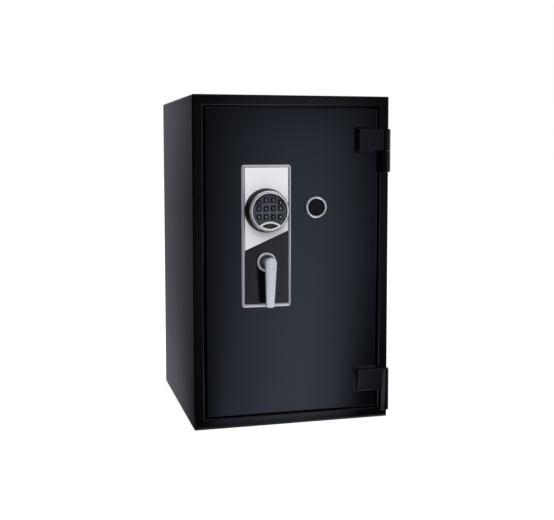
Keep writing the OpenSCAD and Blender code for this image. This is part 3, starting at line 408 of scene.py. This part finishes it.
# The rings are 0.3 mm apart on a real bolt and drawn 1 mm apart. They go round X, the axis of the bolts and
# dogs. A wave texture of scale 1 repeats after pi / 10 metres.
turned_steel, turned_shader = finish("turned_bright_steel", "#c9cacc", roughness=0.22, metallic=1.0)
turned_place = add(turned_steel, "TexCoord").outputs["Object"]
ring_scale = pi / 10 * per_metre(1 * mm)
rings = add(turned_steel, "TexWave", {"Vector": turned_place, "Scale": ring_scale, "Distortion": 0.4,
                                      "Detail": 1.0}, wave_type="BANDS", bands_direction="X")
vary(turned_steel, turned_shader, rings.outputs["Fac"], "#c4c5c8", "#d3d4d6", rough_low=0.2,
     rough_high=0.26)
wear(["hinge_pins", "hinge_dogs", "locking_bolts", "handle_spindle", "drive_pinion"], turned_steel)

# Door: a steel plate with folded edges that holds the fill. Its powder coat is as dark and as glossy as
# the cabinet's, with a slightly bluer cast.
door_paint = powder_coat("blue_black_powder_coat", "#030406", "#06070a", sheen="#d2e0fc", roughness=0.16)
wear(["door_plate"], door_paint)

# Screws of the rear cover: zinc-plated pan heads with a pressed cross. A plain shank stands for the thread.
# One is made and copied to the ten places round the cover.
head_r = 5 * mm
head_h = 2.2 * mm
head_edge = 0.9 * mm
shank_r = 2.5 * mm
shank_len = 6 * mm
cross_w = 1.3 * mm
cross_reach = 2.9 * mm
cross_deep = 1.3 * mm
screw_rows = 4
places_low, places_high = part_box("cover_screws")
cover_back_y = places_high.y - head_h

bpy.ops.object.select_all(action="DESELECT")
bpy.ops.mesh.primitive_cylinder_add(vertices=40, radius=head_r, depth=head_h, location=(0, 0, head_h / 2))
screw = bpy.context.object
round_edges(screw, head_edge, steps=4, sharper_than=60)
for size in ((2 * cross_reach, cross_w), (cross_w, 2 * cross_reach)):
    bpy.ops.object.select_all(action="DESELECT")
    bpy.ops.mesh.primitive_cube_add(size=1, location=(0, 0, head_h), scale=(*size, 2 * cross_deep))
    cutter = bpy.context.object
    select_only(screw)
    pressing = screw.modifiers.new("cross", "BOOLEAN")
    pressing.object = cutter
    bpy.ops.object.modifier_apply(modifier=pressing.name)
    bpy.data.objects.remove(cutter)

# The shank is joined to the middle of the head's underside, and the screw is laid along Y
bpy.ops.object.select_all(action="DESELECT")
bpy.ops.mesh.primitive_cylinder_add(vertices=24, radius=shank_r, depth=shank_len,
                                    location=(0, 0, -shank_len / 2))
screw.select_set(True)
bpy.context.view_layer.objects.active = screw
bpy.ops.object.join()
screw.rotation_euler = (radians(-90), 0, 0)
bpy.ops.object.transform_apply(location=True, rotation=True, scale=True)
screw.data.materials.append(zinc_plate)


def copy_to(piece, name, place):
    """A copy of a piece with its own mesh, at a place."""
    copy = bpy.data.objects.new(name, piece.data.copy())
    scene.collection.objects.link(copy)
    copy.location = place
    select_only(copy)
    bpy.ops.object.transform_apply(location=True, rotation=True, scale=True)
    return copy


sides_x = (places_low.x + head_r, places_high.x - head_r)
ends_z = (places_low.z + head_r, places_high.z - head_r)
row_step = (ends_z[1] - ends_z[0]) / (screw_rows - 1)
screw_places = [(x, ends_z[0] + row * row_step) for x in sides_x for row in range(screw_rows)]
screw_places += [(sum(sides_x) / 2, z) for z in ends_z]
for number, (x, z) in enumerate(screw_places, 1):
    copy = copy_to(screw, "cover_screw_%d" % number, (x, cover_back_y, z))
    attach(copy, "door")
    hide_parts("cover_screws")
bpy.data.objects.remove(screw)

# Panel: an aluminium frame pressed round two thin aluminium plates. The upper plate is brushed and
# anodised, and the lower one, on which the lever stands, is painted black.


def brushed(name, dark, light, roughness, metallic, stroke, depth=0.02 * mm):
    """Brushed metal. The strokes are as long as the stroke's size along each axis."""
    material, shader = finish(name, light, roughness, metallic)
    place = add(material, "TexCoord").outputs["Object"]
    stretched = add(material, "Mapping", {"Vector": place, "Scale": [per_metre(size) for size in stroke]})
    strokes = add(material, "TexNoise", {"Vector": stretched.outputs[0], "Scale": 1.0, "Detail": 3.0})
    vary(material, shader, strokes.outputs["Fac"], dark, light, roughness - 0.05, roughness + 0.05)
    scratches = add(material, "Bump", {"Height": strokes.outputs["Fac"], "Strength": 0.2,
                                       "Distance": depth})
    link(material, scratches.outputs["Normal"], shader, "Normal")
    return material


# Real strokes are 0.1 mm apart. They are drawn 0.6 mm apart, so that they show
stroke_len = 25 * mm
stroke_gap = 0.6 * mm
across_strokes = (stroke_len, stroke_gap, stroke_gap)
pale_plate = brushed("brushed_anodised_plate", "#e2e3ea", "#efeff5", roughness=0.4, metallic=0.15,
                     stroke=across_strokes)
wear(["nameplate_silver_face"], pale_plate)

black_plate, black_plate_shader = finish("black_painted_plate", "#0c0c0f", roughness=0.12)
black_plate_shader.inputs["Specular Tint"].default_value = linear("#d2cedc")
black_place = add(black_plate, "TexCoord").outputs["Object"]
black_cloud = add(black_plate, "TexNoise", {"Vector": black_place, "Scale": per_metre(30 * mm),
                                            "Detail": 4.0})
vary(black_plate, black_plate_shader, black_cloud.outputs["Fac"], "#060608", "#0a0a0d",
     rough_low=0.1, rough_high=0.15)
wear(["nameplate_black_face"], black_plate)


def mark(piece, kind, passes):
    """Selects the points, edges or faces of a piece that pass a test, and goes to edit mode."""
    select_only(piece)
    bpy.ops.object.mode_set(mode="EDIT")
    bpy.ops.mesh.select_mode(type=kind)
    bpy.ops.mesh.select_all(action="DESELECT")
    bpy.ops.object.mode_set(mode="OBJECT")
    mesh = piece.data
    for item in {"VERT": mesh.vertices, "EDGE": mesh.edges, "FACE": mesh.polygons}[kind]:
        item.select = passes(item)
    bpy.ops.object.mode_set(mode="EDIT")


def shift(piece, passes, move):
    """Moves the points of a piece whose place passes a test."""
    mark(piece, "VERT", lambda point: passes(point.co))
    bpy.ops.transform.translate(value=move)
    bpy.ops.object.mode_set(mode="OBJECT")


# The frame is drawn to a bead that rises to a crown and slopes down to the plates. Its left and lower bars
# are wider than the others, so the plates reach further to the right and up, under its lip.
frame_finish = brushed("satin_anodised_frame", "#b9b8c3", "#cdccd7", roughness=0.2, metallic=0.6,
                       stroke=across_strokes)
slim_bar = 4.8 * mm
wide_bar = 7.0 * mm
right_bar = 5.3 * mm
plate_rim = 3 * mm
for node in ("nameplate_silver_face", "nameplate_black_face"):
    plate = stand_in(node, node + "_sheet")
    plate_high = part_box(node)[1]
    shift(plate, lambda place: place.x > plate_high.x - plate_rim, (wide_bar - right_bar, 0, 0))
    if node == "nameplate_silver_face":
        shift(plate, lambda place: place.z > plate_high.z - plate_rim, (0, 0, wide_bar - slim_bar))
    bpy.ops.object.shade_flat()

frame_low, frame_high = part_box("nameplate_frame")
frame_middle = (frame_low + frame_high) / 2
frame_corner_r = 6 * mm
frame_edge = 0.1 * mm
bead_rise = 1.1 * mm
# Share of the bar's width that each step goes inwards, and share of the rise that it goes up or down
bead_steps = ((0.08, 0.3), (0.17, 0.37), (0.15, 0.28), (0.14, 0.05), (0.16, -0.2), (0.16, -0.38),
              (0.14, -0.45))
bpy.ops.object.select_all(action="DESELECT")
bpy.ops.mesh.primitive_cube_add(size=1, location=frame_middle, scale=frame_high - frame_low)
panel_frame = bpy.context.object
panel_frame.name = "panel_frame"
bpy.ops.object.transform_apply(location=True, rotation=True, scale=True)
panel_frame.data.materials.append(frame_finish)
shift(panel_frame, lambda place: place.y < frame_middle.y, (0, bead_rise, 0))


def runs_back(edge):
    """Whether an edge of the block for the frame runs from its front to its back."""
    depths = {round(panel_frame.data.vertices[end].co.y, 4) for end in edge.vertices}
    return len(depths) > 1


mark(panel_frame, "EDGE", runs_back)
bpy.ops.mesh.bevel(offset=frame_corner_r, segments=8)
bpy.ops.object.mode_set(mode="OBJECT")


def largest(piece, way):
    """The largest flat face that looks along Y, forwards with way -1 and backwards with way 1."""
    flat = [face for face in piece.data.polygons if face.normal.y * way > 0.999]
    return max(flat, key=lambda face: face.area).index


def step_in(piece, way, share, rise):
    """Insets the largest face on one side by a share of the bars' widths, and raises it out of the bar."""
    chosen = largest(piece, way)
    mark(piece, "FACE", lambda face: face.index == chosen)
    bpy.ops.mesh.inset(thickness=slim_bar * share, depth=rise)
    bpy.ops.object.mode_set(mode="OBJECT")
    inner = set(piece.data.polygons[largest(piece, way)].vertices)
    moves = ((lambda place: place.x < frame_middle.x, (wide_bar - slim_bar, 0, 0)),
             (lambda place: place.x > frame_middle.x, (slim_bar - right_bar, 0, 0)),
             (lambda place: place.z < frame_middle.z, (0, 0, wide_bar - slim_bar)))
    for passes, move in moves:
        mark(piece, "VERT", lambda point: point.index in inner and passes(point.co))
        bpy.ops.transform.translate(value=Vector(move) * share)
        bpy.ops.object.mode_set(mode="OBJECT")


for width_share, rise_share in bead_steps:
    step_in(panel_frame, -1, width_share, bead_rise * rise_share)
step_in(panel_frame, 1, 1.0, 0)
openings = [largest(panel_frame, -1), largest(panel_frame, 1)]
mark(panel_frame, "FACE", lambda face: face.index in openings)
bpy.ops.mesh.bridge_edge_loops()
bpy.ops.mesh.select_all(action="SELECT")
bpy.ops.mesh.normals_make_consistent(inside=False)
bpy.ops.object.mode_set(mode="OBJECT")
round_edges(panel_frame, frame_edge, steps=2)
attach(panel_frame, "door")
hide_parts("nameplate_frame")

# Keypad: a round ABS housing with a fine grain, a chromed bezel with an eye-shaped rim, and a smoked window
# in the rim. Such a keypad is screwed on from inside the door.


def moulded(name, dark, light, roughness, grain_size, grain_height, gloss=0.5):
    """Moulded plastic or rubber with a grain from the mould. Its pores take away some of the gloss."""
    material, shader = finish(name, light, roughness)
    shader.inputs["Specular IOR Level"].default_value = gloss
    place = add(material, "TexCoord").outputs["Object"]
    grain = add(material, "TexNoise", {"Vector": place, "Scale": per_metre(grain_size), "Detail": 4.0})
    vary(material, shader, grain.outputs["Fac"], dark, light, roughness - 0.06, roughness + 0.06)
    texture = add(material, "Bump", {"Height": grain.outputs["Fac"], "Strength": 0.4,
                                     "Distance": grain_height})
    link(material, texture.outputs["Normal"], shader, "Normal")
    return material


housing_abs = moulded("black_grained_abs", "#030304", "#060607", roughness=0.5, grain_size=0.8 * mm,
                      grain_height=0.05 * mm, gloss=0.1)
wear(["keypad_housing"], housing_abs)


def chromed(name, dark, light, rough_low, rough_high, metallic):
    """Chrome plate, more polished in some places than in others. A metallic share below 1 is milky."""
    material, shader = finish(name, light, rough_low, metallic)
    place = add(material, "TexCoord").outputs["Object"]
    smudge = add(material, "TexNoise", {"Vector": place, "Scale": per_metre(9 * mm), "Detail": 5.0})
    vary(material, shader, smudge.outputs["Fac"], dark, light, rough_low, rough_high)
    return material


turned_edge = 0.25 * mm
pearl_chrome = chromed("pearl_chrome_bezel", "#dadbde", "#ecedf0", rough_low=0.2, rough_high=0.28,
                       metallic=0.75)
wear(["keypad_bezel"], pearl_chrome)
round_edges(stand_in("keypad_bezel", "keypad_bezel_turning"), turned_edge)

lens_plastic, lens_shader = finish("smoked_acrylic", "#0a0a0c", roughness=0.08)
lens_shader.inputs["Specular IOR Level"].default_value = 0.25
lens_place = add(lens_plastic, "TexCoord").outputs["Object"]
smoke = add(lens_plastic, "TexNoise", {"Vector": lens_place, "Scale": per_metre(5 * mm), "Detail": 3.0})
vary(lens_plastic, lens_shader, smoke.outputs["Fac"], "#060608", "#16171b", rough_low=0.06,
     rough_high=0.12)
wear(["keypad_lens"], lens_plastic)


def shade(material, measure, near, far, near_tone, far_tone):
    """Scales a material's colour by a tone that changes while a measure goes from near to far."""
    shader = material.node_tree.nodes["Principled BSDF"]
    colour = shader.inputs["Base Color"].links[0].from_socket
    tone = add(material, "MapRange", {"Value": measure, "From Min": near, "From Max": far,
                                      "To Min": near_tone, "To Max": far_tone})
    shaded = add(material, "VectorMath", {0: colour, "Scale": tone.outputs["Result"]}, operation="SCALE")
    link(material, shaded.outputs[0], shader, "Base Color")


def radius_in(material, node):
    """A point's distance from the axis along Y through the middle of a CAD node."""
    low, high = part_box(node)
    centred = add(material, "Mapping", {"Vector": add(material, "TexCoord").outputs["Object"],
                                        "Location": (-(low.x + high.x) / 2, 0, -(low.z + high.z) / 2),
                                        "Scale": (1, 0, 1)})
    return add(material, "VectorMath", {0: centred.outputs[0]}, operation="LENGTH").outputs["Value"]


# A painted reflection: the middle of the window is painted lighter, and its edge darker
lens_highlight_r = 3 * mm
lens_highlight_edge_r = 15 * mm
shade(lens_plastic, radius_in(lens_plastic, "keypad_lens"), lens_highlight_r, lens_highlight_edge_r,
      near_tone=3.0, far_tone=0.5)

# Keypad's face: a field of grey satin plastic with square cut-outs for the keys. Beside the keys run two
# raised arcs of a ring, with painted shade outside them, and low ribs part the keys.
field_edge = 0.3 * mm
field_plastic = moulded("grey_satin_keypad_face", "#32363f", "#3b3f49", roughness=0.5,
                        grain_size=1.2 * mm, grain_height=0.03 * mm, gloss=0.2)
wear(["keypad_face"], field_plastic)
round_edges(stand_in("keypad_face", "keypad_field"), field_edge, steps=2)
# The ribs and the ring are painted paler than the face: a painted highlight on their raised tops
rib_highlight_plastic = moulded("pale_rib_tops_painted_highlight", "#585c65", "#686c76", roughness=0.5, grain_size=1.2 * mm,
                      grain_height=0.03 * mm, gloss=0.2)
face_low, face_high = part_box("keypad_face")
pad_middle = (face_low + face_high) / 2
ring_r = 37 * mm
ring_t = 0.7 * mm
bpy.ops.object.select_all(action="DESELECT")
bpy.ops.mesh.primitive_torus_add(major_radius=ring_r, minor_radius=ring_t, major_segments=120,
                                 minor_segments=12, location=(pad_middle.x, face_low.y, pad_middle.z),
                                 rotation=(radians(90), 0, 0))
border = bpy.context.object
border.name = "keypad_border_ring"
bpy.ops.object.transform_apply(location=True, rotation=True, scale=True)

# The ring ends at the rim of the lens, and below the two tilted keys, which reach across it
lens_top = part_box("keypad_lens")[1].z
tilted_keys_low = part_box("key_1")[0].z
tilted_keys_gap = 1 * mm
up = (0, 0, 1)
select_only(border)
bpy.ops.object.mode_set(mode="EDIT")
bpy.ops.mesh.select_all(action="SELECT")
bpy.ops.mesh.bisect(plane_co=(0, 0, lens_top), plane_no=up, clear_inner=True, use_fill=True)
bpy.ops.mesh.select_all(action="SELECT")
bpy.ops.mesh.bisect(plane_co=(0, 0, tilted_keys_low - tilted_keys_gap), plane_no=up, clear_outer=True,
                    use_fill=True)
bpy.ops.object.mode_set(mode="OBJECT")
border.data.materials.append(rib_highlight_plastic)

# The keys stand in four columns and three rows. The upright ribs run down from the upper gap between the
# rows, and the level rib in that gap ends short of the two tilted keys.
rib_w = 1.1 * mm
rib_h = 0.35 * mm
rib_edge = 0.25 * mm
upright_rib_h = 34 * mm
upper_rib_w = 33 * mm
lower_rib_w = 62 * mm
column_x = [sum(corner.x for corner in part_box(key)) / 2 for key in ("key_1", "key_2", "key_3", "key_4")]
row_z = [sum(corner.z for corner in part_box(key)) / 2 for key in ("key_2", "key_6", "key_0")]
upper_gap, lower_gap = [(upper + lower) / 2 for upper, lower in zip(row_z, row_z[1:])]
upright_z = upper_gap - upright_rib_h / 2
between_columns = [((left + right) / 2, upright_z) for left, right in zip(column_x, column_x[1:])]
keypad_ribs = [border]
# Half of each rib's depth is sunk in the face
for name, places, wide, high in (
        ("keypad_upright_rib", between_columns, rib_w, upright_rib_h),
        ("keypad_upper_rib", [(pad_middle.x, upper_gap)], upper_rib_w, rib_w),
        ("keypad_lower_rib", [(pad_middle.x, lower_gap)], lower_rib_w, rib_w)):
    bpy.ops.object.select_all(action="DESELECT")
    bpy.ops.mesh.primitive_cube_add(size=1, scale=(wide, 2 * rib_h, high))
    rib = bpy.context.object
    bpy.ops.object.transform_apply(location=True, rotation=True, scale=True)
    round_edges(rib, rib_edge)
    rib.data.materials.append(rib_highlight_plastic)
    keypad_ribs += [copy_to(rib, "%s_%d" % (name, number), (x, face_low.y, z))
                    for number, (x, z) in enumerate(places, 1)]
    bpy.data.objects.remove(rib)
for rib in keypad_ribs:
    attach(rib, body_of["keypad_face"])

# Outside the ring, towards the bezel, the face is painted dark: painted shade
painted_shade_r = ring_r + ring_t
shade(field_plastic, radius_in(field_plastic, "keypad_face"), ring_r, painted_shade_r,
      near_tone=1.0, far_tone=0.15)

# Keys: moulded dark rubber with crowned tops, each with its pale printed digit. The last two clear and
# enter the code, and carry a plain star and a plain grid.
key_rubber = moulded("dark_silicone_rubber", "#0e1014", "#15171c", roughness=0.4, grain_size=0.6 * mm,
                     grain_height=0.03 * mm, gloss=0.4)
pad_print = moulded("pale_pad_print", "#8f99a7", "#a1abb9", roughness=0.6, grain_size=0.5 * mm,
                      grain_height=0.01 * mm)
key_edge = 0.4 * mm
print_t = 0.1 * mm
# A digit is as high as this share of its font's size
digit_share_of_size = 0.7
digit_h = 4.4 * mm
# Degrees that the two outer keys of the first row are turned
key_tilt = {"key_1": 22, "key_4": -22}
key_signs = {"key_%d" % number: str(number) for number in range(10)}
key_signs.update({"key_clear": "*", "key_enter": "#"})
for node, sign in key_signs.items():
    wear([node], key_rubber)
    round_edges(stand_in(node, node + "_rubber"), key_edge)
    low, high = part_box(node)
    bpy.ops.object.select_all(action="DESELECT")
    bpy.ops.object.text_add()
    printed = bpy.context.object
    printed.name = node + "_print"
    printed.data.body = sign
    printed.data.size = digit_h / digit_share_of_size
    printed.data.extrude = print_t / 2
    bpy.ops.object.convert(target="MESH")
    bpy.ops.object.origin_set(type="ORIGIN_GEOMETRY", center="BOUNDS")
    printed.location = ((low.x + high.x) / 2, low.y, (low.z + high.z) / 2)
    printed.rotation_euler = (radians(90), radians(-key_tilt.get(node, 0)), 0)
    bpy.ops.object.transform_apply(location=True, rotation=True, scale=True)
    bpy.ops.object.mode_set(mode="EDIT")
    bpy.ops.mesh.select_all(action="SELECT")
    bpy.ops.mesh.remove_doubles(threshold=0.001 * mm)
    bpy.ops.object.mode_set(mode="OBJECT")
    printed.data.materials.append(pad_print)
    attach(printed, node)

# Circuit board and battery behind the keys: green solder resist over copper tracks, and a 9 V block in a
# brushed steel jacket.
board_resist, board_shader = finish("green_solder_resist", "#14452c", roughness=0.3)
board_place = add(board_resist, "TexCoord").outputs["Object"]
tracks = add(board_resist, "TexBrick", {"Vector": board_place, "Scale": per_metre(4 * mm),
                                        "Mortar Size": 0.06, "Color1": linear("#14452c"),
                                        "Color2": linear("#175034"), "Mortar": linear("#2b7a4c")})
link(board_resist, tracks.outputs["Color"], board_shader, "Base Color")
track_height = add(board_resist, "Bump", {"Height": tracks.outputs["Fac"], "Strength": 0.3,
                                          "Distance": 0.04 * mm})
link(board_resist, track_height.outputs["Normal"], board_shader, "Normal")
wear(["keypad_board"], board_resist)
battery_can = brushed("steel_battery_jacket", "#3a3c40", "#4c4e53", roughness=0.3, metallic=0.8,
                      stroke=across_strokes)
wear(["keypad_battery"], battery_can)

# Key lock: a satin-chromed ring round a black rubber cover that hides the keyhole. Behind the door plate
# sit the brass key tube and two die-cast lock cases with brass bolts.
lock_ring_edge = 0.9 * mm
satin_chrome = chromed("satin_chrome_ring", "#d3d8e1", "#e6ebf4", rough_low=0.18, rough_high=0.28,
                       metallic=0.85)
wear(["key_lock_ring"], satin_chrome)
round_edges(stand_in("key_lock_ring", "key_lock_ring_turning"), lock_ring_edge)

cap_rubber = moulded("black_grained_rubber", "#08090b", "#0f1013", roughness=0.45, grain_size=0.7 * mm,
                     grain_height=0.08 * mm, gloss=0.2)
wear(["keyhole_cap"], cap_rubber)

brass, brass_shader = finish("machined_brass", "#c3a25c", roughness=0.25, metallic=1.0)
brass_place = add(brass, "TexCoord").outputs["Object"]
tarnish = add(brass, "TexNoise", {"Vector": brass_place, "Scale": per_metre(7 * mm), "Detail": 5.0})
vary(brass, brass_shader, tarnish.outputs["Fac"], "#ab8a48", "#cfb06b", rough_low=0.2,
     rough_high=0.34)
wear(["key_tube", "spindle_bush", "guide_bushes", "electronic_lock_bolt", "key_lock_bolt"], brass)

die_cast, cast_shader = finish("die_cast_zinc", "#8f9296", roughness=0.42, metallic=1.0)
cast_place = add(die_cast, "TexCoord").outputs["Object"]
flow = add(die_cast, "TexNoise", {"Vector": cast_place, "Scale": per_metre(11 * mm), "Detail": 6.0})
vary(die_cast, cast_shader, flow.outputs["Fac"], "#7c7f84", "#a0a3a7", rough_low=0.36,
     rough_high=0.5)
cast_skin = add(die_cast, "Bump", {"Height": flow.outputs["Fac"], "Strength": 0.3, "Distance": 0.1 * mm})
link(die_cast, cast_skin.outputs["Normal"], cast_shader, "Normal")
wear(["electronic_lock_case", "key_lock_case"], die_cast)

# Rosette: a turned and chromed dish that covers the hole round the lever's neck. Its rim is bright, and the
# dish inside the rim is painted dark: a painted dark reflection of the shaded neck.
bright_chrome = chromed("polished_chrome_rosette", "#e4e6ea", "#f2f3f6", rough_low=0.15, rough_high=0.25,
                        metallic=0.5)
wear(["handle_rosette"], bright_chrome)
round_edges(stand_in("handle_rosette", "handle_rosette_turning"), turned_edge)
rosette_low, rosette_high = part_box("handle_rosette")
rosette_r = (rosette_high.x - rosette_low.x) / 2
painted_dark_dish_r = rosette_r - 6.8 * mm
bright_rim_r = rosette_r - 1.6 * mm
shade(bright_chrome, radius_in(bright_chrome, "handle_rosette"), painted_dark_dish_r, bright_rim_r,
      near_tone=0.06, far_tone=1.0)

# Lever: a zinc casting, ground along its length and satin-chromed, on a round neck. The polished edges are
# soft. The cast skin shows through the chrome as ripples of 2 to 4 mm, drawn a little deeper than they are.
lever_edge = 1.0 * mm
ripples = (2 * mm, 2 * mm, 4 * mm)
lever_chrome = brushed("satin_chromed_casting", "#b9bfc9", "#eef2f8", roughness=0.42, metallic=0.5,
                       stroke=ripples, depth=0.25 * mm)
wear(["lever_handle"], lever_chrome)
round_edges(stand_in("lever_handle", "lever_casting"), lever_edge, steps=4)

# The neck behind the arm is painted darker: painted shade behind the arm
arm_d = 13 * mm
neck_shade_fade = 6 * mm
arm_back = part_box("lever_handle")[0].y + arm_d
lever_place = add(lever_chrome, "SeparateXYZ", {"Vector": add(lever_chrome, "TexCoord").outputs["Object"]})
shade(lever_chrome, lever_place.outputs["Y"], arm_back, arm_back + neck_shade_fade,
      near_tone=1.0, far_tone=0.4)
